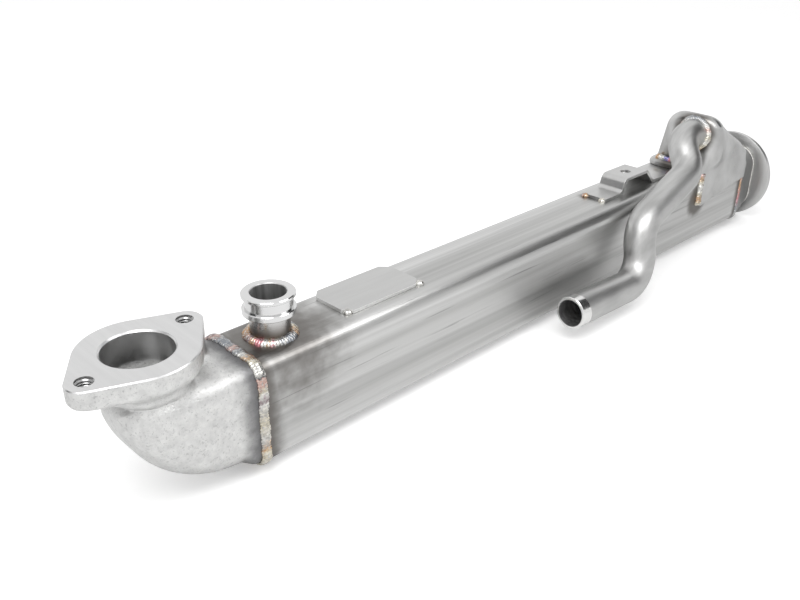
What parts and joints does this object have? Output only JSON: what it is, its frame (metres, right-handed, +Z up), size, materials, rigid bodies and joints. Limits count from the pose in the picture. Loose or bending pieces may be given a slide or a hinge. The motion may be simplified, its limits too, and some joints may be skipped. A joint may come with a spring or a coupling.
{
  "type": "egr cooler",
  "caption": "Long rectangular exhaust gas cooler with a cast outlet elbow, flange, coolant nipple, pressed manifold with a bent inlet pipe, bracket and clamp flange.",
  "frame": {"origin": "centre of the gas outlet bore on its gasket face", "axes": "+X along the shell from the outlet elbow to the gas inlet, +Z up out of the outlet flange, the coolant pipe on the -Y side"},
  "size_m": [0.5746, 0.0878, 0.1015],
  "materials": {
    "shell_steel": "brushed lengthwise",
    "cast_steel": "fine cast grain, machined face",
    "turned_steel": "turned bright",
    "pressed_steel": "satin pressed sheet",
    "drawn_steel": "drawn tube",
    "plate_steel": "satin plate",
    "weld_metal": "rippled, heat tinted",
    "core_steel": "plain"
  },
  "bodies": {
    "root": {"adapter_weld": "weld_metal", "bracket_tacks": "weld_metal", "clamp_flange": "turned_steel", "coolant_manifold": "pressed_steel", "coolant_nipple": "turned_steel", "coolant_pipe": "drawn_steel", "elbow_weld": "weld_metal", "front_tube_plate": "core_steel", "gas_tube_1": "core_steel", "gas_tube_10": "core_steel", "gas_tube_11": "core_steel", "gas_tube_12": "core_steel", "gas_tube_13": "core_steel", "gas_tube_14": "core_steel", "gas_tube_15": "core_steel", "gas_tube_16": "core_steel", "gas_tube_17": "core_steel", "gas_tube_18": "core_steel", "gas_tube_19": "core_steel", "gas_tube_2": "core_steel", "gas_tube_20": "core_steel", "gas_tube_3": "core_steel", "gas_tube_4": "core_steel", "gas_tube_5": "core_steel", "gas_tube_6": "core_steel", "gas_tube_7": "core_steel", "gas_tube_8": "core_steel", "gas_tube_9": "core_steel", "inlet_adapter": "shell_steel", "manifold_front_weld": "weld_metal", "manifold_side_weld": "weld_metal", "mounting_bracket": "plate_steel", "name_plate": "plate_steel", "name_plate_tacks": "weld_metal", "nipple_weld": "weld_metal", "outlet_elbow": "cast_steel", "pipe_weld": "weld_metal", "rear_tube_plate": "core_steel", "shell_tube": "shell_steel", "support_plate_1": "core_steel", "support_plate_2": "core_steel", "support_plate_3": "core_steel", "support_plate_4": "core_steel"}
  },
  "joints": []
}
